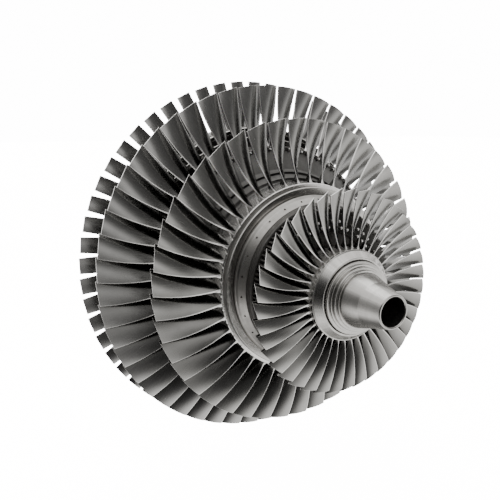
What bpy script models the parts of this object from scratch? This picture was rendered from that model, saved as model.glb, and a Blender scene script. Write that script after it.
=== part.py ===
"""Four-stage bladed rotor with a bored shaft nose, for a small industrial turbine set.

Every piece is modelled along its own +Z, which points to the rotor's front. One empty
lays that axis down, so the finished rotor points its nose along -Y. Stations along the
rotor are distances in metres from the flat rear face of the coupling flange.
"""

import math

import bmesh
import bpy

# Rotor-wide sizes in metres
GAP = 0.0003
TIE_SHAFT_RADIUS = 0.030
BORE_RADIUS = TIE_SHAFT_RADIUS + GAP
ROUND_STEPS = 42
HIDDEN_STEPS = 32

# Faces between neighbouring pieces, from the rear face forwards
COUPLING_FRONT = 0.030
JOURNAL_FRONT = 0.136
BACK_DISC_FRONT = 0.160
STAGE_D_FRONT = 0.226
SPACER_CD_FRONT = 0.280
STAGE_C_FRONT = 0.346
SPACER_BC_FRONT = 0.432
STAGE_B_FRONT = 0.500
LIP_RING_FRONT = 0.512
DRUM_CONE_FRONT = 0.544
STEP_RING_FRONT = 0.566
TOOTH_RING_FRONT = 0.590
FRONT_SPACER_FRONT = 0.630
STAGE_A_FRONT = 0.679
FLANGE_FRONT = 0.706
REAR_COLLAR_FRONT = 0.719
FRONT_COLLAR_FRONT = 0.732
NOSE_FRONT = 0.832

# Outer radii of the turned pieces
COUPLING_RADIUS = 0.150
JOURNAL_RADIUS = 0.085
JOURNAL_SHOULDER_RADIUS = 0.105
BACK_DISC_RADIUS = 0.260
SPACER_CD_RADIUS = 0.318
SPACER_BC_RADII = (0.238, 0.262, 0.316)
LIP_RADIUS = 0.2345
LIP_INNER_RADIUS = 0.216
STEP_RING_RADIUS = 0.198
TOOTH_RING_RADIUS = 0.192
FRONT_SPACER_RADIUS = 0.096
FLANGE_RADIUS = 0.1085
FLANGE_INNER_RADIUS = 0.0925
COLLAR_RADII = (0.086, 0.080, 0.075, 0.069)
NOSE_BASE_RADIUS = 0.0645
NOSE_BREAK_RADIUS = 0.0520
NOSE_TIP_RADIUS = 0.0385
NOSE_BORE_RADIUS = 0.0330
NOSE_BREAK = 0.776

# Seal rings on the front face of the rear stage: inner radius, outer radius, length
INNER_SEAL = (0.338, 0.352, 0.016)
OUTER_SEAL = (0.365, 0.378, 0.012)

# Fasteners
COUPLING_BOLTS = 8
COUPLING_BOLT_CIRCLE = 0.122
COUPLING_BOLT_RADIUS = 0.009
TIE_NUTS = 12
TIE_NUT_CIRCLE = 0.220
NUT_ACROSS = 0.030
NUT_HEIGHT = 0.014

# Blade rows: the leading edge of every blade is radial, and the chord runs from it
# clockwise, seen from the front, and to the rear
ROW_A = {
    "count": 39, "hub": 0.1080, "tip_lead": 0.2380, "tip_trail": 0.2480,
    "lead_root": 0.672, "lead_tip": 0.670,
    "root_chord": 0.032, "root_stagger": 12, "tip_chord": 0.042, "tip_stagger": 80,
    "camber": 0.05, "thickness": 0.0024, "chord_points": 3,
}
ROW_B = {
    "count": 42, "hub": 0.2430, "tip_lead": 0.4000, "tip_trail": 0.4030,
    "lead_root": 0.494, "lead_tip": 0.462,
    "root_chord": 0.056, "root_stagger": 12, "tip_chord": 0.067, "tip_stagger": 76,
    "camber": 0.06, "thickness": 0.0030, "chord_points": 3,
}
ROW_C = {
    "count": 50, "hub": 0.3280, "tip_lead": 0.4880, "tip_trail": 0.4900,
    "lead_root": 0.338, "lead_tip": 0.302,
    "root_chord": 0.056, "root_stagger": 28, "tip_chord": 0.065, "tip_stagger": 80,
    "camber": 0.0, "thickness": 0.0030, "chord_points": 2,
}
ROW_D = {
    "count": 56, "hub": 0.3800, "tip_lead": 0.5040, "tip_trail": 0.5050,
    "lead_root": 0.214, "lead_tip": 0.190,
    "root_chord": 0.050, "root_stagger": 45, "tip_chord": 0.042, "tip_stagger": 80,
    "camber": 0.0, "thickness": 0.0030, "chord_points": 2,
}
ROOT_DEPTH = 0.004
BLADE_STATIONS = 3


def clear_scene():
    for old in list(bpy.data.objects):
        bpy.data.objects.remove(old, do_unlink=True)


def new_collection(name):
    collection = bpy.data.collections.new(name)
    bpy.context.scene.collection.children.link(collection)
    return collection


def metal(name, colour, roughness):
    material = bpy.data.materials.new(name)
    material.use_nodes = True
    shader = material.node_tree.nodes["Principled BSDF"]
    shader.inputs["Base Color"].default_value = (*colour, 1.0)
    shader.inputs["Metallic"].default_value = 1.0
    shader.inputs["Roughness"].default_value = roughness
    return material


def place(name, mesh, material, collection, parent):
    """One object on the rotor's axis, or on an empty beside it."""
    piece = bpy.data.objects.new(name, mesh)
    mesh.materials.append(material)
    collection.objects.link(piece)
    piece.parent = parent
    return piece


def apply_screw(piece, steps):
    screw = piece.modifiers.new("Turn", "SCREW")
    screw.axis = "Z"
    screw.steps = steps
    screw.render_steps = steps
    screw.use_merge_vertices = True
    screw.merge_threshold = 0.0001
    screw.use_smooth_shade = False


def turned_solid(name, outline, material, collection, parent, steps=ROUND_STEPS):
    """A solid of revolution: outline points run from the axis over the front to the rear."""
    mesh = bpy.data.meshes.new(name)
    links = [(i, i + 1) for i in range(len(outline) - 1)]
    mesh.from_pydata([(radius, 0.0, station) for radius, station in outline], links, [])
    piece = place(name, mesh, material, collection, parent)
    apply_screw(piece, steps)
    return piece


def turned_ring(name, outline, bore, material, collection, parent, steps=ROUND_STEPS):
    """A ring of revolution: outline points run over the outside, front to rear."""
    front, rear = outline[0][1], outline[-1][1]
    loop = [(bore, front), *outline, (bore, rear)]
    mesh = bpy.data.meshes.new(name)
    links = [(i, (i + 1) % len(loop)) for i in range(len(loop))]
    mesh.from_pydata([(radius, 0.0, station) for radius, station in loop], links, [])
    piece = place(name, mesh, material, collection, parent)
    apply_screw(piece, steps)
    return piece


def blade_section(row, share):
    """Half sections of one blade at a share of its height: pairs of (turn, radius, station)."""
    chord = row["root_chord"] + share * (row["tip_chord"] - row["root_chord"])
    stagger = math.radians(
        row["root_stagger"] + share ** 0.6 * (row["tip_stagger"] - row["root_stagger"])
    )
    lead = row["lead_root"] + share * (row["lead_tip"] - row["lead_root"])
    foot = row["hub"] - ROOT_DEPTH
    front_side, rear_side = [], []
    for point in range(row["chord_points"]):
        along = point / (row["chord_points"] - 1)
        tip = row["tip_lead"] + along * (row["tip_trail"] - row["tip_lead"])
        radius = foot + share * (tip - foot)
        bow = row["camber"] * chord * 4 * along * (1 - along)
        for side, points in ((0.5, front_side), (-0.5, rear_side)):
            lift = bow + side * row["thickness"]
            across = chord * along * math.sin(stagger) + lift * math.cos(stagger)
            back = chord * along * math.cos(stagger) - lift * math.sin(stagger)
            points.append((-across / radius, radius, lead - back))
    return front_side + rear_side[::-1]


def blade_row_mesh(name, row):
    """All blades of a row as closed lofts, each with its foot below the rim's surface."""
    loft = bmesh.new()
    shares = [i / (BLADE_STATIONS - 1) for i in range(BLADE_STATIONS)]
    sections = [blade_section(row, share) for share in shares]
    for blade in range(row["count"]):
        start = 2 * math.pi * blade / row["count"]
        rings = []
        for section in sections:
            ring = []
            for turn, radius, station in section:
                angle = start + turn
                spot = (radius * math.cos(angle), radius * math.sin(angle), station)
                ring.append(loft.verts.new(spot))
            rings.append(ring)
        for low, high in zip(rings, rings[1:]):
            for i in range(len(low)):
                j = (i + 1) % len(low)
                loft.faces.new((low[i], low[j], high[j], high[i]))
        loft.faces.new(rings[0][::-1])
        loft.faces.new(rings[-1])
    bmesh.ops.triangulate(loft, faces=loft.faces[:])
    bmesh.ops.recalc_face_normals(loft, faces=loft.faces[:])
    mesh = bpy.data.meshes.new(name)
    loft.to_mesh(mesh)
    loft.free()
    return mesh


def bladed_stage(name, row, rear, front, material, collection, cutters, parent):
    """Disc, rim and blades of one stage in one piece, with the bore for the tie shaft."""
    hub = row["hub"]
    disc = turned_ring(
        name, [(hub, front), (hub, rear)], BORE_RADIUS, material, collection, parent
    )
    blades = place(name + "_blades", blade_row_mesh(name + "_blades", row), material,
                   cutters, parent)
    blades.hide_render = True
    blades.display_type = "WIRE"
    join = disc.modifiers.new("Blades", "BOOLEAN")
    join.operation = "UNION"
    join.solver = "EXACT"
    join.object = blades
    return disc


def hex_mesh(name, across, height):
    """A hexagonal head with its foot on the origin and its corners chamfered."""
    head = bmesh.new()
    bmesh.ops.create_cone(
        head, cap_ends=True, segments=6, radius1=across / math.sqrt(3),
        radius2=across / math.sqrt(3) * 0.93, depth=height,
    )
    bmesh.ops.translate(head, verts=head.verts[:], vec=(0, 0, height / 2))
    mesh = bpy.data.meshes.new(name)
    head.to_mesh(mesh)
    head.free()
    return mesh


def round_cutter(name, radius, depth, collection, parent):
    """A round bar that cuts a hole, standing on the origin of its object."""
    bar = bmesh.new()
    bmesh.ops.create_cone(
        bar, cap_ends=True, segments=12, radius1=radius, radius2=radius, depth=depth
    )
    mesh = bpy.data.meshes.new(name)
    bar.to_mesh(mesh)
    bar.free()
    cutter = bpy.data.objects.new(name, mesh)
    collection.objects.link(cutter)
    cutter.parent = parent
    cutter.hide_render = True
    cutter.display_type = "WIRE"
    return cutter


def build_stages(parts, cutters, axis, blade_steel):
    bladed_stage("stage_a", ROW_A, FRONT_SPACER_FRONT + GAP, STAGE_A_FRONT,
                 blade_steel, parts, cutters, axis)
    bladed_stage("stage_b", ROW_B, SPACER_BC_FRONT + GAP, STAGE_B_FRONT,
                 blade_steel, parts, cutters, axis)
    bladed_stage("stage_c", ROW_C, SPACER_CD_FRONT + GAP, STAGE_C_FRONT,
                 blade_steel, parts, cutters, axis)
    bladed_stage("stage_d", ROW_D, BACK_DISC_FRONT + GAP, STAGE_D_FRONT,
                 blade_steel, parts, cutters, axis)


def build_drum(parts, axis, turned_steel, polished_steel, dark_steel):
    """Spacers between the stages, and the stepped drum in front of the middle stage."""
    turned_ring("spacer_cd",
                [(SPACER_CD_RADIUS, SPACER_CD_FRONT), (SPACER_CD_RADIUS, STAGE_D_FRONT + GAP)],
                BORE_RADIUS, turned_steel, parts, axis)
    small, middle, large = SPACER_BC_RADII
    turned_ring(
        "spacer_bc",
        [(small, SPACER_BC_FRONT), (middle, (SPACER_BC_FRONT + STAGE_C_FRONT) / 2),
         (large, STAGE_C_FRONT + GAP)],
        BORE_RADIUS, turned_steel, parts, axis,
    )
    for name, (inner, outer, length) in (("inner_seal", INNER_SEAL), ("outer_seal", OUTER_SEAL)):
        turned_ring(name, [(outer, STAGE_D_FRONT + length), (outer, STAGE_D_FRONT + GAP)],
                    inner, polished_steel, parts, axis)
    turned_ring(
        "lip_ring",
        [(LIP_RADIUS - 0.002, LIP_RING_FRONT), (LIP_RADIUS, LIP_RING_FRONT - 0.002),
         (LIP_RADIUS, STAGE_B_FRONT + GAP)],
        BORE_RADIUS, turned_steel, parts, axis,
    )
    turned_ring(
        "drum_cone",
        [(STEP_RING_RADIUS + 0.001, DRUM_CONE_FRONT),
         (LIP_INNER_RADIUS - 0.005, LIP_RING_FRONT + 0.014),
         (LIP_INNER_RADIUS, LIP_RING_FRONT + GAP)],
        BORE_RADIUS, turned_steel, parts, axis,
    )
    turned_ring(
        "step_ring",
        [(STEP_RING_RADIUS - 0.003, STEP_RING_FRONT),
         (STEP_RING_RADIUS, STEP_RING_FRONT - 0.003),
         (STEP_RING_RADIUS, DRUM_CONE_FRONT + GAP)],
        BORE_RADIUS, dark_steel, parts, axis,
    )
    turned_ring(
        "tooth_ring",
        [(TOOTH_RING_RADIUS, TOOTH_RING_FRONT), (TOOTH_RING_RADIUS, STEP_RING_FRONT + GAP)],
        BORE_RADIUS, dark_steel, parts, axis, HIDDEN_STEPS,
    )
    turned_ring(
        "front_spacer",
        [(FRONT_SPACER_RADIUS, FRONT_SPACER_FRONT),
         (FRONT_SPACER_RADIUS, TOOTH_RING_FRONT + GAP)],
        BORE_RADIUS, dark_steel, parts, axis, HIDDEN_STEPS,
    )


def build_front_end(parts, axis, polished_steel, dark_steel):
    """Flange, two stepped collars and the bored nose, and the tie shaft through them."""
    turned_ring(
        "front_flange",
        [(FLANGE_INNER_RADIUS, FLANGE_FRONT),
         (FLANGE_RADIUS - 0.0025, STAGE_A_FRONT + 0.0095),
         (FLANGE_RADIUS, STAGE_A_FRONT + 0.0085),
         (FLANGE_RADIUS, STAGE_A_FRONT + GAP)],
        BORE_RADIUS, polished_steel, parts, axis,
    )
    outer, second, third, groove = COLLAR_RADII
    middle = (FLANGE_FRONT + REAR_COLLAR_FRONT) / 2
    turned_ring(
        "rear_collar",
        [(second, REAR_COLLAR_FRONT), (second, middle), (outer, middle),
         (outer, FLANGE_FRONT + GAP)],
        BORE_RADIUS, polished_steel, parts, axis,
    )
    middle = (REAR_COLLAR_FRONT + FRONT_COLLAR_FRONT) / 2
    turned_ring(
        "front_collar",
        [(groove, FRONT_COLLAR_FRONT), (groove, middle), (third, middle),
         (third, REAR_COLLAR_FRONT + GAP)],
        NOSE_BORE_RADIUS, polished_steel, parts, axis,
    )
    turned_ring(
        "shaft_nose",
        [(NOSE_TIP_RADIUS, NOSE_FRONT), (NOSE_BREAK_RADIUS, NOSE_BREAK),
         (NOSE_BASE_RADIUS, FRONT_COLLAR_FRONT + GAP)],
        NOSE_BORE_RADIUS, polished_steel, parts, axis,
    )
    turned_solid(
        "tie_shaft",
        [(0.0, REAR_COLLAR_FRONT), (TIE_SHAFT_RADIUS, REAR_COLLAR_FRONT),
         (TIE_SHAFT_RADIUS, JOURNAL_FRONT - 0.040), (0.0, JOURNAL_FRONT - 0.040)],
        dark_steel, parts, axis, HIDDEN_STEPS,
    )


def build_rear_end(parts, cutters, axis, turned_steel, polished_steel, fastener_steel):
    """Back disc with the tie nuts, bearing journal and bolted coupling flange."""
    turned_ring(
        "back_disc",
        [(BACK_DISC_RADIUS, BACK_DISC_FRONT), (BACK_DISC_RADIUS, BACK_DISC_FRONT - 0.012),
         (BACK_DISC_RADIUS - 0.012, JOURNAL_FRONT + GAP)],
        BORE_RADIUS, turned_steel, parts, axis,
    )
    turned_ring(
        "rear_journal",
        [(JOURNAL_SHOULDER_RADIUS, JOURNAL_FRONT),
         (JOURNAL_SHOULDER_RADIUS, JOURNAL_FRONT - 0.016),
         (JOURNAL_RADIUS, JOURNAL_FRONT - 0.022),
         (JOURNAL_RADIUS, COUPLING_FRONT + GAP)],
        BORE_RADIUS, polished_steel, parts, axis, HIDDEN_STEPS,
    )
    coupling = turned_solid(
        "coupling_flange",
        [(0.0, COUPLING_FRONT), (COUPLING_RADIUS - 0.002, COUPLING_FRONT),
         (COUPLING_RADIUS, COUPLING_FRONT - 0.002), (COUPLING_RADIUS, 0.002),
         (COUPLING_RADIUS - 0.002, 0.0), (0.0, 0.0)],
        turned_steel, parts, axis,
    )
    for number in range(COUPLING_BOLTS):
        angle = 2 * math.pi * (number + 0.5) / COUPLING_BOLTS
        spot = (COUPLING_BOLT_CIRCLE * math.cos(angle),
                COUPLING_BOLT_CIRCLE * math.sin(angle), 0.0)
        cutter = round_cutter("bolt_hole_%d" % (number + 1), COUPLING_BOLT_RADIUS + GAP,
                              3 * COUPLING_FRONT, cutters, axis)
        cutter.location = spot
        hole = coupling.modifiers.new("Hole %d" % (number + 1), "BOOLEAN")
        hole.operation = "DIFFERENCE"
        hole.solver = "EXACT"
        hole.object = cutter
        bolt = coupling_bolt("coupling_bolt_%d" % (number + 1), parts, cutters, axis,
                             fastener_steel)
        bolt.location = spot
    for number in range(TIE_NUTS):
        angle = 2 * math.pi * number / TIE_NUTS
        name = "tie_nut_%d" % (number + 1)
        nut = place(name, hex_mesh(name, NUT_ACROSS, NUT_HEIGHT), fastener_steel,
                    parts, axis)
        nut.rotation_euler = (math.pi, 0, 0)
        nut.location = (TIE_NUT_CIRCLE * math.cos(angle),
                        TIE_NUT_CIRCLE * math.sin(angle), JOURNAL_FRONT)


def coupling_bolt(name, parts, cutters, axis, fastener_steel):
    """A bolt whose shank fills its hole in the flange, with the head on the front face."""
    bolt = bmesh.new()
    across = 2 * COUPLING_BOLT_RADIUS * 1.7
    bmesh.ops.create_cone(
        bolt, cap_ends=True, segments=6, radius1=across / math.sqrt(3),
        radius2=across / math.sqrt(3) * 0.93, depth=NUT_HEIGHT,
    )
    lift = COUPLING_FRONT + GAP + NUT_HEIGHT / 2
    bmesh.ops.translate(bolt, verts=bolt.verts[:], vec=(0, 0, lift))
    mesh = bpy.data.meshes.new(name)
    bolt.to_mesh(mesh)
    bolt.free()
    piece = place(name, mesh, fastener_steel, parts, axis)
    shank = round_cutter(name + "_shank", COUPLING_BOLT_RADIUS, 1.0, cutters, piece)
    length = COUPLING_FRONT + NUT_HEIGHT / 2 - GAP
    for vertex in shank.data.vertices:
        vertex.co.z = GAP if vertex.co.z < 0 else GAP + length
    join = piece.modifiers.new("Shank", "BOOLEAN")
    join.operation = "UNION"
    join.solver = "EXACT"
    join.object = shank
    return piece


def main():
    clear_scene()
    parts = new_collection("turbine_rotor")
    cutters = new_collection("cutters")
    axis = bpy.data.objects.new("rotor_axis", None)
    parts.objects.link(axis)
    axis.rotation_euler = (math.pi / 2, 0, 0)
    blade_steel = metal("blade_steel", (0.56, 0.55, 0.53), 0.32)
    polished_steel = metal("polished_steel", (0.66, 0.65, 0.63), 0.22)
    turned_steel = metal("turned_steel", (0.55, 0.54, 0.52), 0.30)
    dark_steel = metal("dark_steel", (0.30, 0.29, 0.28), 0.42)
    fastener_steel = metal("fastener_steel", (0.42, 0.41, 0.40), 0.36)
    build_stages(parts, cutters, axis, blade_steel)
    build_drum(parts, axis, turned_steel, polished_steel, dark_steel)
    build_front_end(parts, axis, polished_steel, dark_steel)
    build_rear_end(parts, cutters, axis, turned_steel, polished_steel, fastener_steel)


main()
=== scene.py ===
"""The looks of a four-stage bladed turbine rotor that lies with its bored nose along -Y.

Stations are metres forward of the coupling's flat rear face, so a station s lies at y = -s.
Angles round the rotor run from +X towards +Z, as seen from the front. The outline of a
turned piece is a closed list of points, each a radius and a station.
"""

import math

import bmesh
import bpy
from mathutils import Matrix, Vector


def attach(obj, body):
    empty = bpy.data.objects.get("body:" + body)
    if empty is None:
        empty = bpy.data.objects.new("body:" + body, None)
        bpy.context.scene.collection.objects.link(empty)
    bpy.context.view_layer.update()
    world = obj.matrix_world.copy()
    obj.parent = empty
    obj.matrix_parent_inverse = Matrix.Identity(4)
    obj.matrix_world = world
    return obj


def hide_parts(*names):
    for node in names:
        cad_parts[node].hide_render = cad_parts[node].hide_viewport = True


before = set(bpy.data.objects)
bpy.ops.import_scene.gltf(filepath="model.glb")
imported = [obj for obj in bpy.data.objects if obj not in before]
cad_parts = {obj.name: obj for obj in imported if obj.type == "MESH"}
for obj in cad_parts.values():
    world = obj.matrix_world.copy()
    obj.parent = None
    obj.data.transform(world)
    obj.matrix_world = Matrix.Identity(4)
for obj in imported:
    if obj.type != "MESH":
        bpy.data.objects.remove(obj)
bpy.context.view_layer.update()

# The studio. The rotor hangs above a plain white floor in a white room, shaded from some
# sides by four dark cards, with three soft lamps overhead, low on the left and behind. The
# camera looks from the front left, a little above, with a 43 mm lens on a 36 mm frame.
sight_turn = math.radians(-28.56)
sight_rise = math.radians(12.14)
towards_camera = Vector((math.sin(sight_turn) * math.cos(sight_rise),
                         -math.cos(sight_turn) * math.cos(sight_rise),
                         math.sin(sight_rise)))
sight_right = Vector((math.cos(sight_turn), math.sin(sight_turn), 0.0))
sight_up = towards_camera.cross(sight_right)
looked_at = Vector((0.0, -0.460, 0.0))
camera_left, camera_lift, camera_reach = 0.1248, 0.0632, 1.582
camera_spot = (looked_at - camera_left * sight_right + camera_lift * sight_up
               + camera_reach * towards_camera)
camera_data = bpy.data.cameras.new("studio_camera")
camera_data.sensor_width = 36.0
camera_data.lens = 43.2
camera_data.clip_start = 0.05
camera = bpy.data.objects.new("studio_camera", camera_data)
camera.matrix_world = Matrix.Translation(camera_spot) @ Matrix(
    (sight_right, sight_up, towards_camera)).transposed().to_4x4()
bpy.context.scene.collection.objects.link(camera)
bpy.context.scene.camera = camera


def feed(tree, socket, source):
    """Links a socket to the result of another node, or gives it a plain value."""
    if isinstance(source, bpy.types.NodeSocket):
        tree.links.new(source, socket)
    else:
        socket.default_value = source


def maths(tree, operation, first, second):
    node = tree.nodes.new("ShaderNodeMath")
    node.operation = operation
    feed(tree, node.inputs[0], first)
    feed(tree, node.inputs[1], second)
    return node.outputs["Value"]


def spread(tree, source, low, high, new_low, new_high):
    """Maps a value from one range to another and holds it there."""
    node = tree.nodes.new("ShaderNodeMapRange")
    for name, value in (("Value", source), ("From Min", low), ("From Max", high),
                        ("To Min", new_low), ("To Max", new_high)):
        feed(tree, node.inputs[name], value)
    return node.outputs["Result"]


# The strength at which the backdrop and the floor come out plain white, and that of the
# room's light where no card shades it
plain_white, room_brightness = 15.0, 1.46
world = bpy.data.worlds.new("white_room")
world.use_nodes = True
room = world.node_tree
backdrop = room.nodes["Background"]
backdrop.inputs["Color"].default_value = (1.0, 1.0, 1.0, 1.0)
backdrop.inputs["Strength"].default_value = plain_white
room_light = room.nodes.new("ShaderNodeBackground")
room_light.inputs["Color"].default_value = (1.0, 0.99, 0.97, 1.0)
bearing = room.nodes.new("ShaderNodeTexCoord")
# The direction of each dark card, the cosines of the angles where its shade starts and where
# it is deepest, and the share of the light that is left there
dark_cards = (((0.62, -0.66, 0.43), 0.77, 0.96, 0.12),
              ((-0.64, -0.77, -0.05), 0.50, 0.93, 0.06),
              ((-0.97, -0.15, 0.15), 0.65, 0.93, 0.12),
              ((0.10, 0.55, -0.83), 0.60, 0.95, 0.15))
brightness = room_brightness
for aim, shade_start, shade_deepest, light_left in dark_cards:
    nearness = room.nodes.new("ShaderNodeVectorMath")
    nearness.operation = "DOT_PRODUCT"
    nearness.inputs[1].default_value = Vector(aim).normalized()
    room.links.new(bearing.outputs["Generated"], nearness.inputs[0])
    card_shade = spread(room, nearness.outputs["Value"], shade_start, shade_deepest, 1.0,
                        light_left)
    card_shade.node.interpolation_type = "SMOOTHSTEP"
    brightness = maths(room, "MULTIPLY", card_shade, brightness)
room.links.new(brightness, room_light.inputs["Strength"])
seen = room.nodes.new("ShaderNodeLightPath")
either = room.nodes.new("ShaderNodeMixShader")
room.links.new(seen.outputs["Is Camera Ray"], either.inputs["Fac"])
room.links.new(room_light.outputs["Background"], either.inputs[1])
room.links.new(backdrop.outputs["Background"], either.inputs[2])
room.links.new(either.outputs["Shader"], room.nodes["World Output"].inputs["Surface"])
bpy.context.scene.world = world


def soft_lamp(name, spot, aim, size, power):
    lamp_data = bpy.data.lights.new(name, "AREA")
    lamp_data.size = size
    lamp_data.energy = power
    lamp = bpy.data.objects.new(name, lamp_data)
    lamp.location = spot
    lamp.rotation_euler = (Vector(aim) - Vector(spot)).to_track_quat("-Z", "Y").to_euler()
    bpy.context.scene.collection.objects.link(lamp)


soft_lamp("lamp_overhead", (0.2, 0.5, 1.6), (0.0, -0.5, 0.0), size=1.6, power=12.0)
soft_lamp("lamp_left", (-1.7, 0.8, -0.3), (0.0, -0.5, 0.0), size=1.2, power=2.5)
soft_lamp("lamp_behind", (-0.9, 1.9, 1.2), (0.0, -0.2, 0.0), size=1.5, power=6.0)

floor_reach, floor_height = 30.0, -0.62
floor_mesh = bpy.data.meshes.new("studio_floor")
floor_mesh.from_pydata([(x * floor_reach, y * floor_reach, floor_height)
                        for x, y in ((-1, -1), (1, -1), (1, 1), (-1, 1))], [], [(0, 1, 2, 3)])
studio_floor = bpy.data.objects.new("studio_floor", floor_mesh)
bpy.context.scene.collection.objects.link(studio_floor)
white_paper = bpy.data.materials.new("white_paper")
white_paper.use_nodes = True
paper_shader = white_paper.node_tree.nodes["Principled BSDF"]
paper_shader.inputs["Base Color"].default_value = (0.90, 0.90, 0.895, 1.0)
paper_shader.inputs["Roughness"].default_value = 0.9
paper_shader.inputs["Emission Color"].default_value = (1.0, 0.995, 0.985, 1.0)
paper_shader.inputs["Emission Strength"].default_value = plain_white
floor_mesh.materials.append(white_paper)
studio_floor.visible_glossy = False
studio_floor.visible_diffuse = False

# Shaft nose. A hollow cone of forged steel in two tapers with a bored end, turned and
# polished, the inside of the bore painted near black as shade. It is drawn onto the front
# collar by the tie shaft inside.
axis_limit = 1e-6
nearly_straight = math.radians(170)
longest_share = 0.4


def on_rotor(radius, angle, station):
    return (radius * math.cos(angle), -station, radius * math.sin(angle))


def softened(outline, size):
    """Rounds every corner of a closed outline with a short arc of four points."""
    points = []
    for i, corner in enumerate(outline):
        here = Vector(corner)
        back = Vector(outline[i - 1]) - here
        ahead = Vector(outline[(i + 1) % len(outline)]) - here
        if here.x < axis_limit or back.angle(ahead) > nearly_straight:
            points.append(here)
            continue
        reach = min(size, longest_share * back.length, longest_share * ahead.length)
        start, end = here + back.normalized() * reach, here + ahead.normalized() * reach
        for share in (0.0, 1 / 3, 2 / 3, 1.0):
            points.append((1 - share) ** 2 * start + 2 * share * (1 - share) * here
                          + share ** 2 * end)
    return points


def new_piece(name, form, *finishes):
    """Turns a bmesh into a smooth-shaded piece of the scene that rides on the rotor."""
    bmesh.ops.recalc_face_normals(form, faces=form.faces[:])
    mesh = bpy.data.meshes.new(name)
    form.to_mesh(mesh)
    form.free()
    for finish in finishes:
        mesh.materials.append(finish)
    mesh.polygons.foreach_set("use_smooth", [True] * len(mesh.polygons))
    piece = bpy.data.objects.new(name, mesh)
    bpy.context.scene.collection.objects.link(piece)
    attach(piece, "root")
    return piece


def lathe(form, outline, steps, centre=(0.0, 0.0)):
    """Turns a closed outline of (radius, station) about an axis along the rotor."""
    columns = []
    on_axis = {}
    for step in range(steps):
        angle = 2 * math.pi * step / steps
        column = []
        for i, (radius, station) in enumerate(outline):
            if radius < axis_limit:
                if i not in on_axis:
                    on_axis[i] = form.verts.new((centre[0], -station, centre[1]))
                column.append(on_axis[i])
                continue
            x, y, z = on_rotor(radius, angle, station)
            column.append(form.verts.new((x + centre[0], y, z + centre[1])))
        columns.append(column)
    for step in range(steps):
        here, there = columns[step], columns[(step + 1) % steps]
        for i in range(len(outline)):
            j = (i + 1) % len(outline)
            corners = []
            for vertex in (here[i], here[j], there[j], there[i]):
                if vertex not in corners:
                    corners.append(vertex)
            if len(corners) > 2:
                form.faces.new(corners)


def even_shading(piece):
    """Keeps flat faces flat where they meet rounded corners."""
    even = piece.modifiers.new("Even shading", "WEIGHTED_NORMAL")
    even.keep_sharp = True


def turned_piece(name, outline, finish, soft, steps=192, bore_finish=None, bore=0.0):
    """A smooth turned piece. Faces nearer to the axis than bore get the bore's finish."""
    form = bmesh.new()
    lathe(form, softened(outline, soft), steps)
    finishes = [finish]
    if bore_finish:
        finishes.append(bore_finish)
        for face in form.faces:
            spot = face.calc_center_median()
            face.material_index = int(math.hypot(spot.x, spot.z) < bore)
    piece = new_piece(name, form, *finishes)
    even_shading(piece)
    return piece


def pattern_group(name, inputs, outputs):
    """A node group, the sockets that bring its values in, and those that take results out."""
    group = bpy.data.node_groups.new(name, "ShaderNodeTree")
    for socket_name, value in inputs.items():
        socket = group.interface.new_socket(socket_name, in_out="INPUT",
                                            socket_type="NodeSocketFloat")
        socket.default_value = value
    for socket_name in outputs:
        group.interface.new_socket(socket_name, in_out="OUTPUT", socket_type="NodeSocketFloat")
    return (group, group.nodes.new("NodeGroupInput").outputs,
            group.nodes.new("NodeGroupOutput").inputs)


def rotor_place(tree):
    """A point itself, its distance from the rotor's axis, angle round it and y along it."""
    place = tree.nodes.new("ShaderNodeTexCoord")
    split = tree.nodes.new("ShaderNodeSeparateXYZ")
    tree.links.new(place.outputs["Object"], split.inputs["Vector"])
    x, y, z = (split.outputs[axis] for axis in "XYZ")
    reach = maths(tree, "POWER", maths(tree, "ADD", maths(tree, "MULTIPLY", x, x),
                                       maths(tree, "MULTIPLY", z, z)), 0.5)
    return place.outputs["Object"], reach, maths(tree, "ARCTAN2", z, x), y


def vector_of(tree, x, y, z):
    node = tree.nodes.new("ShaderNodeCombineXYZ")
    for socket, source in zip(node.inputs, (x, y, z)):
        feed(tree, socket, source)
    return node.outputs["Vector"]


def noise(tree, vector, scale, detail, roughness=0.6):
    node = tree.nodes.new("ShaderNodeTexNoise")
    for name, value in (("Vector", vector), ("Scale", scale), ("Detail", detail),
                        ("Roughness", roughness)):
        feed(tree, node.inputs[name], value)
    return node.outputs["Fac"]


# The rings that a lathe tool leaves, as tone and height, with faint streaks of painted sheen
# across them
turning_marks, given, results = pattern_group(
    "turning_marks", {"Fineness": 900.0, "Streaks": 0.5}, ["Tone", "Height"])
_, reach, angle, along = rotor_place(turning_marks)
rings = noise(turning_marks, vector_of(turning_marks, reach, along, 0.0),
              given["Fineness"], detail=3.0, roughness=0.7)
# Painted sheen: lighter and darker streaks round the axis, standing in for the radial sheen of
# turned steel
sheen_streaks = noise(turning_marks, vector_of(turning_marks, angle, maths(
    turning_marks, "MULTIPLY", reach, 0.6), 0.0), 9.0, detail=5.0, roughness=0.75)
sheen_streaks = maths(turning_marks, "MULTIPLY", maths(turning_marks, "SUBTRACT", sheen_streaks, 0.5),
                given["Streaks"])
turning_marks.links.new(maths(turning_marks, "ADD", rings, sheen_streaks), results["Tone"])
turning_marks.links.new(rings, results["Height"])

# Stains from handling and storage, as soft clouds from 0 for clean to 1 for dull
handling_stains, given, results = pattern_group(
    "handling_stains", {"Size": 14.0, "Amount": 0.5}, ["Mask"])
spot = rotor_place(handling_stains)[0]
clouds = spread(handling_stains, noise(handling_stains, spot, given["Size"], detail=4.0),
                0.42, 0.72, 0.0, 1.0)
handling_stains.links.new(maths(handling_stains, "MULTIPLY", clouds, given["Amount"]),
                          results["Mask"])


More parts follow.
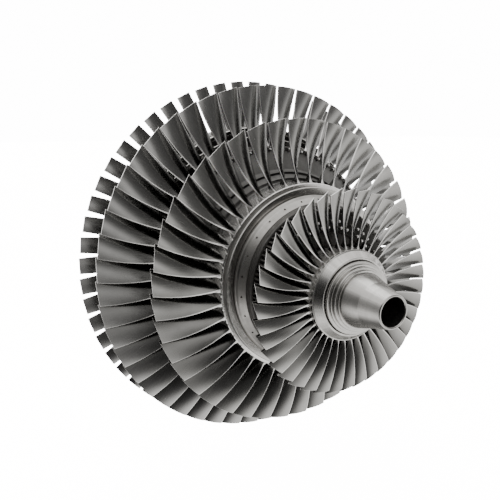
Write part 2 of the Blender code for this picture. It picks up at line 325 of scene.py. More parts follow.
def steel(name, light, dark, roughness, marks, settings, stains, stain_size, relief,
          painted_shade=None):
    """Steel with the tone, gloss and relief of its tool marks, dulled by handling stains.

    The marks run between the colours light and dark, and roughness from clean to stained;
    the turning marks also carry painted sheen streaks. relief is the depth of the marks in
    metres. The last argument, when given, is the colour of painted shade, laid on the steel
    as far as the mesh's painted shade attribute asks.
    """
    material = bpy.data.materials.new(name)
    material.use_nodes = True
    tree = material.node_tree
    shader = tree.nodes["Principled BSDF"]
    shader.inputs["Metallic"].default_value = 1.0
    pattern = tree.nodes.new("ShaderNodeGroup")
    pattern.node_tree = marks
    for socket, value in settings.items():
        pattern.inputs[socket].default_value = value
    stained = tree.nodes.new("ShaderNodeGroup")
    stained.node_tree = handling_stains
    stained.inputs["Size"].default_value = stain_size
    stained.inputs["Amount"].default_value = stains

    def marked(in_hollows, on_crests):
        return spread(tree, pattern.outputs["Tone"], 0.3, 0.7, in_hollows, on_crests)

    def covered(under, cover, amount):
        node = tree.nodes.new("ShaderNodeMix")
        node.data_type = "RGBA"
        feed(tree, node.inputs["Factor"], amount)
        feed(tree, node.inputs["A"], under)
        feed(tree, node.inputs["B"], (*cover, 1.0))
        return node.outputs["Result"]

    stain = tuple(0.8 * value for value in dark)
    colour = covered((*dark, 1.0), light, marked(0.0, 1.0))
    colour = covered(colour, stain, stained.outputs["Mask"])
    # Painted shade: darkens the steel as far as the mesh's attribute says, with ragged edges
    if painted_shade:
        shade_amount = tree.nodes.new("ShaderNodeAttribute")
        shade_amount.attribute_name = "painted_shade"
        ragged = maths(tree, "ADD", shade_amount.outputs["Fac"], marked(-0.06, 0.06))
        colour = covered(colour, painted_shade, spread(tree, ragged, 0.0, 1.0, 0.0, 1.0))
    tree.links.new(colour, shader.inputs["Base Color"])
    clean, dull = roughness
    gloss = maths(tree, "ADD", spread(tree, stained.outputs["Mask"], 0.0, 1.0, clean, dull),
                  marked(0.04, -0.04))
    tree.links.new(gloss, shader.inputs["Roughness"])
    bump = tree.nodes.new("ShaderNodeBump")
    bump.inputs["Distance"].default_value = relief
    bump.inputs["Strength"].default_value = 1.0
    tree.links.new(pattern.outputs["Height"], bump.inputs["Height"])
    tree.links.new(bump.outputs["Normal"], shader.inputs["Normal"])
    return material


polished_cone = steel(
    "polished_cone", light=(0.60, 0.59, 0.57), dark=(0.44, 0.43, 0.415),
    roughness=(0.22, 0.34), marks=turning_marks, settings={"Fineness": 1500.0, "Streaks": 0.5},
    stains=0.4, stain_size=16.0, relief=0.00002)
# Near-black steel: painted shade for the inside of the nose's bore and the bottoms of slots
recess_shade = steel(
    "recess_shade", light=(0.16, 0.157, 0.152), dark=(0.11, 0.108, 0.104),
    roughness=(0.45, 0.60), marks=turning_marks, settings={"Fineness": 800.0, "Streaks": 0.3},
    stains=0.5, stain_size=30.0, relief=0.00004)
nose = turned_piece(
    "bored_nose",
    [(0.0645, 0.7323), (0.0640, 0.7360), (0.0522, 0.7750), (0.0516, 0.7765), (0.0392, 0.8300),
     (0.0378, 0.8318), (0.0350, 0.8320), (0.0330, 0.8300), (0.0330, 0.7323)],
    polished_cone, soft=0.0010, steps=256, bore_finish=recess_shade, bore=0.0332)
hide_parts("shaft_nose")

# Collars. Two stepped rings of polished steel that centre the nose on the front flange.
# They are turned in one setting with it, so their steps run true and have tiny edges.
polished_collar = steel(
    "polished_collar", light=(0.70, 0.69, 0.67), dark=(0.54, 0.53, 0.51),
    roughness=(0.18, 0.30), marks=turning_marks, settings={"Fineness": 1300.0, "Streaks": 0.7},
    stains=0.4, stain_size=18.0, relief=0.00003)
front_collar = turned_piece(
    "stepped_front_collar",
    [(0.0690, 0.7320), (0.0690, 0.7256), (0.0738, 0.7255), (0.0750, 0.7243), (0.0750, 0.7193),
     (0.0330, 0.7193), (0.0330, 0.7320)],
    polished_collar, soft=0.0007)
rear_collar = turned_piece(
    "stepped_rear_collar",
    [(0.0800, 0.7190), (0.0800, 0.7128), (0.0852, 0.7125), (0.0860, 0.7117), (0.0860, 0.7063),
     (0.0303, 0.7063), (0.0303, 0.7190)],
    polished_collar, soft=0.0007)
for collar, node in ((front_collar, "front_collar"), (rear_collar, "rear_collar")):
    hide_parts(node)

# Front flange. A dished ring of polished steel with a thin bright rim, clamped by the
# collars against the first stage. Its conical face shows fine turning marks and strong
# streaks of painted sheen.
polished_flange = steel(
    "polished_flange", light=(0.74, 0.73, 0.71), dark=(0.52, 0.51, 0.49),
    roughness=(0.24, 0.36), marks=turning_marks, settings={"Fineness": 1100.0, "Streaks": 1.4},
    stains=0.4, stain_size=15.0, relief=0.00003)
flange = turned_piece(
    "dished_front_flange",
    [(0.0925, 0.7058), (0.1055, 0.6892), (0.1066, 0.6884), (0.1085, 0.6876), (0.1085, 0.6793),
     (0.0303, 0.6793), (0.0303, 0.7040), (0.0866, 0.7040), (0.0885, 0.7056)],
    polished_flange, soft=0.0008)
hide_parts("front_flange")

# First stage. 39 small twisted blades milled in one piece with their disc, in satin blade
# steel. The leading and trailing edges and the tips carry a painted highlight and the faces
# painted shade towards the trailing edge and the foot, and each foot has a small fillet.

# Faint grinding lines along the blades, as tone and height
blade_grain, given, results = pattern_group(
    "blade_grain", {"Fineness": 500.0, "Clouds": 0.5}, ["Tone", "Height"])
spot, reach, angle, along = rotor_place(blade_grain)
lines = noise(blade_grain, vector_of(
    blade_grain, maths(blade_grain, "MULTIPLY", angle, 0.4),
    maths(blade_grain, "MULTIPLY", reach, 0.04), along), given["Fineness"], detail=3.0)
clouds = maths(blade_grain, "MULTIPLY", maths(
    blade_grain, "SUBTRACT", noise(blade_grain, spot, 22.0, detail=3.0), 0.5), given["Clouds"])
blade_grain.links.new(maths(blade_grain, "ADD", lines, clouds), results["Tone"])
blade_grain.links.new(lines, results["Height"])

# Satin steel for the first two stages; its darkest colour is painted shade towards the trailing
# edge and the foot
satin_blade = steel(
    "satin_blade", light=(0.52, 0.515, 0.50), dark=(0.46, 0.455, 0.44),
    roughness=(0.22, 0.32), marks=blade_grain, settings={"Fineness": 300.0, "Clouds": 0.6},
    stains=0.35, stain_size=20.0, relief=0.000003, painted_shade=(0.10, 0.098, 0.094))
# Near-white steel: on the blades a painted highlight along the edges, and also the colour of the
# bright bolts and pins
pale_steel_and_edge_highlight = steel(
    "pale_steel_and_edge_highlight", light=(0.95, 0.94, 0.92), dark=(0.86, 0.85, 0.83),
    roughness=(0.30, 0.38), marks=blade_grain, settings={"Fineness": 900.0, "Clouds": 0.4},
    stains=0.1, stain_size=30.0, relief=0.000004)
rim_steel = steel(
    "rim_steel", light=(0.62, 0.61, 0.59), dark=(0.47, 0.46, 0.44),
    roughness=(0.26, 0.42), marks=turning_marks, settings={"Fineness": 900.0, "Streaks": 0.5},
    stains=0.6, stain_size=18.0, relief=0.00004)

# hub is the rim's radius, tip_lead and tip_trail are the radii of a blade's tip corners,
# lead_root and lead_tip the stations of its leading edge, and stagger is the angle between
# chord and axis in degrees. flare is the size of the foot's fillet, land the width of the
# painted highlight along the leading edge, bulge how far a blade bows sideways at mid height,
# and start the angle of the first blade in degrees.
row_a = {
    "count": 39, "hub": 0.1080, "tip_lead": 0.2380, "tip_trail": 0.2480,
    "lead_root": 0.672, "lead_tip": 0.670, "root_chord": 0.032, "root_stagger": 12,
    "tip_chord": 0.042, "tip_stagger": 80, "camber": 0.05, "thickness": 0.0022,
    "flare": 0.0022, "land": 0.0014, "bulge": 0.006, "start": 1.4,
}
# How deep a foot sits in the rim, how early the twist comes, how high the fillet rises for
# its width, how thin the very edges are, and the belly and the taper of a blade's thickness
foot_depth, twist_power, fillet_rise, edge_share = 0.002, 0.6, 2.2, 0.6
belly, taper = 0.25, 0.3


def blade_section(row, share):
    """One section of a blade at a share of its height: its front side, then its rear side.

    Each point has its turn round the rotor, its radius and its station, and how much painted
    shade lies there, which grows towards the trailing edge and the foot.
    """
    chord = row["root_chord"] + share * (row["tip_chord"] - row["root_chord"])
    stagger = math.radians(row["root_stagger"] + share ** twist_power
                           * (row["tip_stagger"] - row["root_stagger"]))
    lead = row["lead_root"] + share * (row["lead_tip"] - row["lead_root"])
    foot = row["hub"] - foot_depth
    # Painted shade that deepens towards the foot of the blade
    foot_shade = (1 - share) ** 1.2 * 0.90
    front_side, rear_side = [], []
    for along in (0.0, 0.2 * row["land"] / chord, row["land"] / chord, 0.12, 0.22, 0.34, 0.48,
                  0.62, 0.76, 0.88, 0.985, 1.0):
        tip = row["tip_lead"] + along * (row["tip_trail"] - row["tip_lead"])
        radius = foot + share * (tip - foot)
        fillet = row["flare"] * math.exp(
            -((radius - row["hub"]) / (fillet_rise * row["flare"])) ** 2)
        half = row["thickness"] / 2 * (1 + belly * math.sin(math.pi * along) - taper * along)
        half += fillet * (1 - 0.6 * along)
        if along in (0.0, 1.0):
            half *= edge_share
        place = along * chord + fillet * (2 * along - 1)
        bow = row["camber"] * chord * 4 * along * (1 - along)
        # Painted shade that deepens towards the trailing edge
        trailing_shade = max(0.0, (along - 0.05) / 0.95) * 0.80
        for side, points in ((1, front_side), (-1, rear_side)):
            lift = bow + side * half
            across = place * math.sin(stagger) + lift * math.cos(stagger)
            across -= row["bulge"] * 4 * share * (1 - share)
            back = place * math.cos(stagger) - lift * math.sin(stagger)
            points.append((-across / radius, radius, lead - back,
                           min(1.0, trailing_shade + foot_shade)))
    return front_side + rear_side[::-1]


def blade_row(name, row, face_finish, edge_finish):
    """All blades of a row as closed lofts, with a painted highlight along their edges."""
    edge_band = 1 - row["land"] / (row["tip_lead"] - row["hub"])
    shares = (0.0, 0.015, 0.035, 0.07, 0.12, 0.2, 0.32, 0.46, 0.6, 0.74, 0.87, edge_band, 0.998,
              1.0)
    sections = [blade_section(row, share) for share in shares]
    size = len(sections[0])
    half = size // 2
    # Faces at the leading and trailing edges that get the painted highlight; the tip strip and
    # the caps get it too
    highlighted = {0, 1, half - 2, half - 1, half, size - 2, size - 1}
    form = bmesh.new()
    # How much painted shade each vertex carries
    painted_shade = form.verts.layers.float.new("painted_shade")
    for blade in range(row["count"]):
        start = math.radians(row["start"]) + 2 * math.pi * blade / row["count"]
        rings = []
        for section in sections:
            ring = []
            for turn, radius, station, shade_amount in section:
                vertex = form.verts.new(on_rotor(radius, start + turn, station))
                vertex[painted_shade] = shade_amount
                ring.append(vertex)
            rings.append(ring)
        for low, high in zip(rings, rings[1:]):
            for i in range(size):
                j = (i + 1) % size
                face = form.faces.new((low[i], low[j], high[j], high[i]))
                face.material_index = int(i in highlighted or low in rings[-2:])
        for ring in (rings[0], rings[-1]):
            for i in range(half - 1):
                face = form.faces.new((ring[i], ring[i + 1], ring[size - 2 - i],
                                       ring[size - 1 - i]))
                face.material_index = 1
    piece = new_piece(name, form, face_finish, edge_finish)
    piece.data.set_sharp_from_angle(angle=math.radians(28))
    return piece


def slotted_ring(name, outside, inside, count, slot, chamfer, depth, slant, finish, faces,
                 start=0.0, slot_finish=None, front_finish=None, front=None):
    """A ring whose outside is cut by slots that slant with the blades.

    slot and chamfer are shares of the pitch, depth is in metres, slant and start are in
    degrees, and faces is how many cuts divide each land. outside runs from the front to the
    rear and inside back to the front. The bottoms of the slots, and all faces further
    forward than front, can have finishes of their own.
    """
    form = bmesh.new()
    rounding = 0.12
    shares = [(0.0, 1.0), (slot, 1.0), (slot + chamfer, rounding), (slot + 2 * chamfer, 0.0)]
    flat = 1.0 - slot - 4 * chamfer
    shares += [(slot + 2 * chamfer + flat * i / (faces + 1), 0.0) for i in range(1, faces + 1)]
    shares += [(1 - 2 * chamfer, 0.0), (1 - chamfer, rounding)]
    columns = []
    for sector in range(count):
        for share, sunk in shares:
            turn = math.radians(start) + 2 * math.pi * (sector + share) / count
            column = []
            for radius, station in outside:
                lean = (station - outside[-1][1]) * math.tan(math.radians(slant)) / radius
                column.append(form.verts.new(on_rotor(radius - sunk * depth, turn + lean,
                                                      station)))
            for radius, station in inside:
                lean = (station - outside[-1][1]) * math.tan(math.radians(slant)) / outside[0][0]
                column.append(form.verts.new(on_rotor(radius, turn + lean, station)))
            columns.append(column)
    for i, here in enumerate(columns):
        there = columns[(i + 1) % len(columns)]
        for j in range(len(here)):
            k = (j + 1) % len(here)
            face = form.faces.new((here[j], here[k], there[k], there[j]))
            if front_finish and -face.calc_center_median().y > front:
                face.material_index = 2
            elif i % len(shares) < 2 and j < len(outside) - 1:
                face.material_index = 1
    piece = new_piece(name, form, finish, slot_finish or finish, front_finish or finish)
    piece.data.set_sharp_from_angle(angle=math.radians(35))
    return piece


blades_a = blade_row("blades_first_row", row_a, satin_blade, pale_steel_and_edge_highlight)
disc_a = slotted_ring(
    "disc_first_row",
    [(0.1070, 0.6790), (0.1080, 0.6780), (0.1080, 0.6550), (0.1080, 0.6313), (0.1070, 0.6303)],
    [(0.0900, 0.6303), (0.0850, 0.6360), (0.0560, 0.6360), (0.0500, 0.6303),
     (0.0303, 0.6303), (0.0303, 0.6790)],
    count=39, slot=0.03, chamfer=0.02, depth=0.0012, slant=28, finish=rim_steel, faces=5)
for piece in (blades_a, disc_a):
    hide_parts("stage_a")

# Front spacer and toothed ring. A short dark drum behind the first stage, and behind it a
# locking ring with slots milled all round its edge, both of oxidised steel. The bottoms of
# the slots are painted shade, and the ring's front face is near black, partly dark steel and
# partly painted shade. Two circles of 48 bright hexagonal bolts hold the ring.
dark_drum = steel(
    "dark_drum", light=(0.24, 0.235, 0.225), dark=(0.15, 0.145, 0.14),
    roughness=(0.38, 0.55), marks=turning_marks, settings={"Fineness": 700.0, "Streaks": 0.4},
    stains=0.7, stain_size=18.0, relief=0.00006)
# Near-black steel, partly its own dark colour and partly painted shade for the deep gaps between
# the stages
black_steel_and_shade = steel(
    "black_steel_and_shade", light=(0.11, 0.108, 0.104), dark=(0.07, 0.069, 0.066),
    roughness=(0.34, 0.50), marks=turning_marks, settings={"Fineness": 600.0, "Streaks": 0.5},
    stains=0.6, stain_size=18.0, relief=0.00005)
front_drum = turned_piece(
    "front_drum",
    [(0.0960, 0.6300), (0.0960, 0.6210), (0.0930, 0.6200), (0.0930, 0.6010), (0.0960, 0.6000),
     (0.0960, 0.5903), (0.0303, 0.5903), (0.0303, 0.6300)],
    dark_drum, soft=0.0008, steps=128)
toothed_ring = slotted_ring(
    "toothed_locking_ring",
    [(0.1905, 0.5900), (0.1920, 0.5880), (0.1920, 0.5663)],
    [(0.0303, 0.5663), (0.0303, 0.5820), (0.1300, 0.5820), (0.1340, 0.5900)],
    count=104, slot=0.60, chamfer=0.015, depth=0.0120, slant=0, finish=dark_drum, faces=2,
    slot_finish=recess_shade, front_finish=black_steel_and_shade, front=0.5895)


def on_circle(radius, number, count):
    """The x and z of one of count evenly spaced places round the rotor's axis."""
    angle = 2 * math.pi * number / count
    return radius * math.cos(angle), radius * math.sin(angle)


def hex_head(form, centre, across, base, top):
    """A hexagonal head between two stations, with its corners chamfered at the top."""
    steps = 36
    edge_drop, corner_slope, top_share = 0.0006, 0.6, 0.95
    sign = 1.0 if top > base else -1.0
    columns = []
    for step in range(steps):
        angle = 2 * math.pi * step / steps
        flat = (angle + math.pi / 6) % (math.pi / 3) - math.pi / 6
        reach = across / 2 / math.cos(flat)
        shoulder = top - sign * (edge_drop + (reach - across / 2) * corner_slope)
        columns.append([
            form.verts.new((centre[0] + radius * math.cos(angle), -station,
                            centre[1] + radius * math.sin(angle)))
            for radius, station in ((reach, base), (reach, shoulder),
                                    (across / 2 * top_share, top))])
    for step in range(steps):
        here, there = columns[step], columns[(step + 1) % steps]
        for i in range(2):
            form.faces.new((here[i], here[i + 1], there[i + 1], there[i]))
    form.faces.new([column[0] for column in columns])
    form.faces.new([column[2] for column in columns])


bolt_count = 48
bolt_form = bmesh.new()
for bolt_circle, shift in ((0.1450, 0.0), (0.1600, 0.5)):
    for bolt in range(bolt_count):
        hex_head(bolt_form, on_circle(bolt_circle, bolt + shift, bolt_count), across=0.0062,
                 base=0.5898, top=0.5945)
ring_bolts = new_piece("ring_bolts", bolt_form, pale_steel_and_edge_highlight)
for piece, node in ((front_drum, "front_spacer"), (toothed_ring, "tooth_ring"),
                    (ring_bolts, "tooth_ring")):
    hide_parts(node)

# Step ring. A dark turned ring with two fine sealing grooves, shrunk onto the drum behind
# the toothed ring. It is of the same oxidised steel.
step_ring = turned_piece(
    "grooved_step_ring",
    [(0.1930, 0.5660), (0.1965, 0.5650), (0.1980, 0.5635), (0.1980, 0.5600), (0.1968, 0.5595),
     (0.1968, 0.5585), (0.1980, 0.5580), (0.1980, 0.5530), (0.1968, 0.5525), (0.1968, 0.5515),
     (0.1980, 0.5510), (0.1980, 0.5443), (0.0303, 0.5443), (0.0303, 0.5620), (0.1780, 0.5620),
     (0.1800, 0.5660)],
    dark_drum, soft=0.0005)
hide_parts("step_ring")

# Drum cone. The pale dished wall between the step ring and the middle stage, turned, with
# a circle of 26 small drilled balance holes.
turned_wall = steel(
    "turned_wall", light=(0.50, 0.49, 0.47), dark=(0.36, 0.35, 0.335),
    roughness=(0.28, 0.46), marks=turning_marks, settings={"Fineness": 800.0, "Streaks": 0.6},
    stains=0.8, stain_size=14.0, relief=0.00006)
cone_front = (0.1990, 0.5440)
cone_middle = (0.2110, 0.5260)
hole_count, hole_shift = 26, 0.3
hole_circle, hole_station = 0.2060, 0.5335
hole_radius, drill_length = 0.0027, 0.012
drum_cone = turned_piece(
    "drilled_drum_cone",
    [cone_front, cone_middle, (0.2145, 0.5225), (0.2160, 0.5195), (0.2160, 0.5123),
     (0.0303, 0.5123), (0.0303, 0.5440)],
    turned_wall, soft=0.0008, steps=252)
hole_form = bmesh.new()
slope = math.atan2(cone_middle[0] - cone_front[0], cone_front[1] - cone_middle[1])
for hole in range(hole_count):
    angle = 2 * math.pi * (hole + hole_shift) / hole_count
    centre = Vector(on_rotor(hole_circle, angle, hole_station))
    outward = Vector(on_rotor(math.cos(slope), angle, math.sin(slope)))
    turn = outward.to_track_quat("Z", "Y").to_matrix().to_4x4()
    bmesh.ops.create_cone(hole_form, cap_ends=True, segments=14, radius1=hole_radius,
                          radius2=hole_radius, depth=drill_length,
                          matrix=Matrix.Translation(centre) @ turn)
drill_mesh = bpy.data.meshes.new("drill")
hole_form.to_mesh(drill_mesh)
hole_form.free()
drill = bpy.data.objects.new("drill", drill_mesh)
bpy.context.scene.collection.objects.link(drill)
drum_cone.modifiers.clear()
drilled = drum_cone.modifiers.new("Balance holes", "BOOLEAN")
drilled.operation = "DIFFERENCE"
drilled.solver = "EXACT"
drilled.object = drill
drilled_mesh = bpy.data.meshes.new_from_object(
    drum_cone.evaluated_get(bpy.context.evaluated_depsgraph_get()))
drum_cone.modifiers.clear()
drum_cone.data = drilled_mesh
drilled_mesh.set_sharp_from_angle(angle=math.radians(50))
even_shading(drum_cone)
bpy.data.objects.remove(drill, do_unlink=True)
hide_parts("drum_cone")

# Lip ring. The ring of dark steel that holds the middle blades in their rim, with a bright
# turned lip in front and 380 fine slanted ridges milled round its outside.
bright_lip = steel(
    "bright_lip", light=(0.68, 0.67, 0.65), dark=(0.52, 0.51, 0.49),
    roughness=(0.22, 0.36), marks=turning_marks, settings={"Fineness": 1000.0, "Streaks": 0.5},
    stains=0.4, stain_size=16.0, relief=0.00004)
lip_ring = slotted_ring(
    "ridged_lip_ring",
    [(0.2325, 0.5120), (0.2345, 0.5100), (0.2345, 0.5050), (0.2345, 0.5003)],
    [(0.0303, 0.5003), (0.0303, 0.5100), (0.2160, 0.5100), (0.2168, 0.5118), (0.2180, 0.5120)],
    count=380, slot=0.34, chamfer=0.10, depth=0.0005, slant=40, finish=dark_drum, faces=0,
    front_finish=bright_lip, front=0.5085)
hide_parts("lip_ring")

# Middle stage. 42 large twisted blades of satin steel on a rim of slanted platforms with
# fine joints between them. They are milled and ground like those of the first stage, with the
# same painted highlight on their edges and painted shade on their faces.
row_b = {
    "count": 42, "hub": 0.2430, "tip_lead": 0.4000, "tip_trail": 0.4030,
    "lead_root": 0.494, "lead_tip": 0.462, "root_chord": 0.056, "root_stagger": 12,
    "tip_chord": 0.067, "tip_stagger": 76, "camber": 0.06, "thickness": 0.0028,
    "flare": 0.0030, "land": 0.0018, "bulge": 0.008, "start": 0.9,
}
platform_steel = steel(
    "platform_steel", light=(0.94, 0.93, 0.91), dark=(0.84, 0.83, 0.81),
    roughness=(0.24, 0.36), marks=turning_marks, settings={"Fineness": 600.0, "Streaks": 0.2},
    stains=0.05, stain_size=18.0, relief=0.000005)
blades_b = blade_row("blades_middle_row", row_b, satin_blade, pale_steel_and_edge_highlight)
disc_b = slotted_ring(
    "disc_middle_row",
    [(0.2415, 0.5000), (0.2430, 0.4985), (0.2430, 0.4670), (0.2430, 0.4340), (0.2415, 0.4323)],
    [(0.2180, 0.4323), (0.2120, 0.4400), (0.1200, 0.4400), (0.1100, 0.4323),
     (0.0303, 0.4323), (0.0303, 0.5000)],
    count=42, slot=0.022, chamfer=0.012, depth=0.0018, slant=27, finish=platform_steel,
    faces=6, start=5.0)
for piece in (blades_b, disc_b):
    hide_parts("stage_b")

# Spacer between the middle and third stages. A flared drum of blackened steel, darkened
# further by painted shade, with two thin sealing fins, turned in one piece and clamped
# between the discs.
spacer_bc = turned_piece(
    "flared_spacer",
    [(0.2380, 0.4320), (0.2440, 0.4210), (0.2500, 0.4208), (0.2500, 0.4182), (0.2450, 0.4180),
     (0.2500, 0.4090), (0.2580, 0.3990), (0.2640, 0.3988), (0.2640, 0.3962), (0.2600, 0.3950),
     (0.2700, 0.3820), (0.2860, 0.3700), (0.3000, 0.3580), (0.3160, 0.3463), (0.0303, 0.3463),
     (0.0303, 0.4320)],
    black_steel_and_shade, soft=0.0006)
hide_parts("spacer_bc")

# Third stage. 50 long twisted blades of dull satin steel on a dark rim with milled joints,
# with a painted highlight on their edges and painted shade on their faces. A circle of 100
# bright hexagonal pins locks the blade feet in the disc.
row_c = {
    "count": 50, "hub": 0.3280, "tip_lead": 0.4880, "tip_trail": 0.4900,
    "lead_root": 0.338, "lead_tip": 0.302, "root_chord": 0.056, "root_stagger": 28,
    "tip_chord": 0.065, "tip_stagger": 80, "camber": 0.06, "thickness": 0.0030,
    "flare": 0.0028, "land": 0.0018, "bulge": 0.006, "start": 0.0,
}
# Blade steel for the last two stages; its darkest colour is painted shade towards the trailing
# edge and the foot
shaded_blade = steel(
    "shaded_blade", light=(0.55, 0.545, 0.535), dark=(0.48, 0.475, 0.465),
    roughness=(0.22, 0.32), marks=blade_grain, settings={"Fineness": 300.0, "Clouds": 0.4},
    stains=0.25, stain_size=20.0, relief=0.000002, painted_shade=(0.075, 0.074, 0.071))
blades_c = blade_row("blades_third_row", row_c, shaded_blade, pale_steel_and_edge_highlight)
disc_c = slotted_ring(
    "disc_third_row",
    [(0.3265, 0.3460), (0.3280, 0.3445), (0.3280, 0.3130), (0.3280, 0.2820), (0.3265, 0.2803)],
    [(0.3200, 0.2803), (0.3180, 0.2850), (0.1200, 0.2850), (0.1100, 0.2803),
     (0.0303, 0.2803), (0.0303, 0.3460)],
    count=50, slot=0.024, chamfer=0.014, depth=0.0018, slant=34, finish=dark_drum, faces=5)
pin_count, pin_circle = 100, 0.3212
pin_form = bmesh.new()
for pin in range(pin_count):
    hex_head(pin_form, on_circle(pin_circle, pin, pin_count), across=0.0060, base=0.3458,
             top=0.3505)
disc_pins = new_piece("disc_pins", pin_form, pale_steel_and_edge_highlight)
for piece in (blades_c, disc_c, disc_pins):
    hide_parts("stage_c")

# Rear spacer and seal rings. A turned drum of blackened steel, darkened further by painted
# shade, between the third and rear stages, and two polished rings that stand on the rear
# stage's front face as a labyrinth seal.
spacer_cd = turned_piece(
    "rear_spacer",
    [(0.3180, 0.2800), (0.3180, 0.2680), (0.3140, 0.2675), (0.3140, 0.2655), (0.3180, 0.2650),
     (0.3180, 0.2520), (0.3140, 0.2515), (0.3140, 0.2495), (0.3180, 0.2490), (0.3180, 0.2263),
     (0.0303, 0.2263), (0.0303, 0.2800)],
    black_steel_and_shade, soft=0.0006)
seal_inner = turned_piece(
    "seal_ring_inner",
    [(0.3500, 0.2420), (0.3520, 0.2400), (0.3520, 0.2263), (0.3380, 0.2263), (0.3380, 0.2400),
     (0.3400, 0.2420)],
    polished_collar, soft=0.0008)
seal_outer = turned_piece(
    "seal_ring_outer",
    [(0.3760, 0.2380), (0.3780, 0.2360), (0.3780, 0.2263), (0.3650, 0.2263), (0.3650, 0.2360),
     (0.3670, 0.2380)],
    polished_collar, soft=0.0008)
for piece, node, finish_slot in ((spacer_cd, "spacer_cd", "turned_steel"),
                                 (seal_inner, "inner_seal", "polished_steel"),
                                 (seal_outer, "outer_seal", "polished_steel")):
    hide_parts(node)

# Rear stage. 56 narrow blades of dull satin steel on the dark rim of the largest disc, made
# like the third stage and clamped by the back disc.
row_d = {
    "count": 56, "hub": 0.3800, "tip_lead": 0.5040, "tip_trail": 0.5050,
    "lead_root": 0.214, "lead_tip": 0.190, "root_chord": 0.050, "root_stagger": 45,
    "tip_chord": 0.042, "tip_stagger": 80, "camber": 0.06, "thickness": 0.0030,
    "flare": 0.0026, "land": 0.0018, "bulge": 0.0, "start": 0.0,
}
blades_d = blade_row("blades_rear_row", row_d, shaded_blade, pale_steel_and_edge_highlight)
disc_d = slotted_ring(
    "disc_rear_row",
    [(0.3785, 0.2260), (0.3800, 0.2245), (0.3800, 0.1930), (0.3800, 0.1620), (0.3785, 0.1603)],
    [(0.3500, 0.1603), (0.3420, 0.1690), (0.2780, 0.1690), (0.2700, 0.1603),
     (0.0303, 0.1603), (0.0303, 0.2260)],
    count=56, slot=0.026, chamfer=0.014, depth=0.0018, slant=44, finish=dark_drum, faces=4)
for piece in (blades_d, disc_d):
    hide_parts("stage_d")

# Back disc. A turned steel plate that clamps the stages from behind, with a sealing step
# at its rim and a circle of tie nuts on its rear face.
back_disc = turned_piece(
    "back_clamp_disc",
    [(0.2600, 0.1600), (0.2600, 0.1500), (0.2560, 0.1490), (0.2560, 0.1440), (0.2500, 0.1370),
     (0.2420, 0.1363), (0.1960, 0.1363), (0.1930, 0.1400), (0.1500, 0.1400), (0.1460, 0.1363),
     (0.0303, 0.1363), (0.0303, 0.1600)],
    turned_wall, soft=0.0010)
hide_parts("back_disc")

# Tie nuts. Twelve hexagonal nuts of dull machined steel with washers and stud ends, on the
# rear face of the back disc. They pull all the stages together.
dull_nut = steel(
    "dull_nut", light=(0.42, 0.41, 0.40), dark=(0.28, 0.275, 0.265),
    roughness=(0.30, 0.48), marks=turning_marks, settings={"Fineness": 1400.0, "Streaks": 0.2},
    stains=0.6, stain_size=60.0, relief=0.00003)
thread_pitch, thread_crest, thread_core = 0.0014, 0.0007, 0.9
nut_count, nut_circle = 12, 0.220


def stud_end(radius, base, point):
    """The outline of a threaded stud end that points to the rear, from its point to its base."""
    chamfer, first_turn = 0.0012, 0.0022
    outline = [(0.0, point), (radius * 0.8, point), (radius, point + chamfer)]
    station = point + first_turn
    while base - station > chamfer:
        outline += [(radius * thread_core, station), (radius, station + thread_crest)]
        station += thread_pitch
    return outline + [(radius, base), (0.0, base)]


def fastener(name, centre, washer_radius, seat, washer_top, across, head_top, stud):
    """A washer on its seat, a hexagonal head or nut on the washer, and a stud end."""
    form = bmesh.new()
    washer = [(0.0, washer_top), (washer_radius, washer_top), (washer_radius, seat),
              (0.0, seat)]
    lathe(form, softened(washer, 0.0004), 40, centre)
    hex_head(form, centre, across, washer_top, head_top)
    lathe(form, stud, 32, centre)
    piece = new_piece(name, form, dull_nut)
    piece.data.set_sharp_from_angle(angle=math.radians(25))
    return piece


for number in range(nut_count):
    nut = fastener("tie_nut_with_stud_%d" % (number + 1),
                   on_circle(nut_circle, number, nut_count),
                   washer_radius=0.0172, seat=0.1360, washer_top=0.1335, across=0.0296,
                   head_top=0.1222, stud=stud_end(0.0080, base=0.1300, point=0.1200))
    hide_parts("tie_nut_%d" % (number + 1))

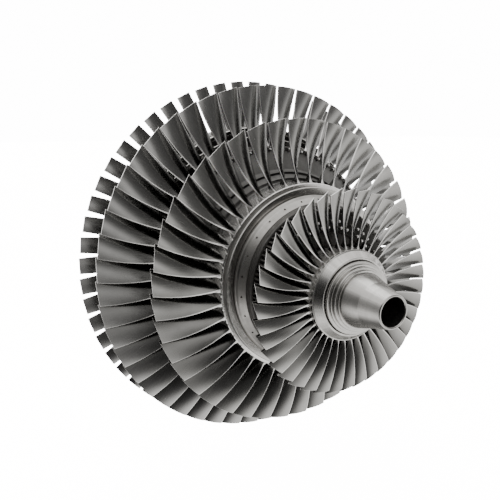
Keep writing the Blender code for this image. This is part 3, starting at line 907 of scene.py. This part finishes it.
# Rear journal. The polished bearing seat between the discs and the coupling, with a
# shoulder and two narrow oil grooves.
ground_journal = steel(
    "ground_journal", light=(0.72, 0.71, 0.69), dark=(0.60, 0.59, 0.57),
    roughness=(0.12, 0.24), marks=turning_marks, settings={"Fineness": 2200.0, "Streaks": 0.4},
    stains=0.4, stain_size=16.0, relief=0.00002)
journal = turned_piece(
    "bearing_journal",
    [(0.1050, 0.1360), (0.1050, 0.1205), (0.1035, 0.1195), (0.0850, 0.1140), (0.0850, 0.1080),
     (0.0835, 0.1075), (0.0835, 0.1055), (0.0850, 0.1050), (0.0850, 0.0440), (0.0835, 0.0435),
     (0.0835, 0.0415), (0.0850, 0.0410), (0.0850, 0.0303), (0.0303, 0.0303), (0.0303, 0.1360)],
    ground_journal, soft=0.0006)
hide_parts("rear_journal")

# Coupling flange. A turned steel flange with a flat mating face, a lathe centre on the
# axis and a groove round its rim. It is forged with the journal and faced after.
coupling = turned_piece(
    "coupling_disc",
    [(0.0, 0.0300), (0.1480, 0.0300), (0.1500, 0.0280), (0.1500, 0.0180), (0.1488, 0.0175),
     (0.1488, 0.0155), (0.1500, 0.0150), (0.1500, 0.0020), (0.1480, 0.0), (0.0620, 0.0),
     (0.0600, 0.0015), (0.0080, 0.0015), (0.0, 0.0120)],
    turned_wall, soft=0.0005)
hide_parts("coupling_flange")

# Coupling bolts. Eight hexagonal bolts with washers on the flange's front face, their
# shanks through the flange and their ends just inside its mating face.
fitted_count, fitted_circle = 8, 0.122
for number in range(fitted_count):
    bolt = fastener("coupling_bolt_fitted_%d" % (number + 1),
                    on_circle(fitted_circle, number + 0.5, fitted_count),
                    washer_radius=0.0176, seat=0.0303, washer_top=0.0335, across=0.0300,
                    head_top=0.0442, stud=stud_end(0.0088, base=0.0290, point=0.0006))
    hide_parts("coupling_bolt_%d" % (number + 1))

# Tie shaft. The dark steel bar that runs through the bore of every disc. Only its front
# end shows, deep in the bored nose, so the CAD solid stays and takes a finish of its own.
for material_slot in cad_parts["tie_shaft"].material_slots:
    material_slot.material = dark_drum
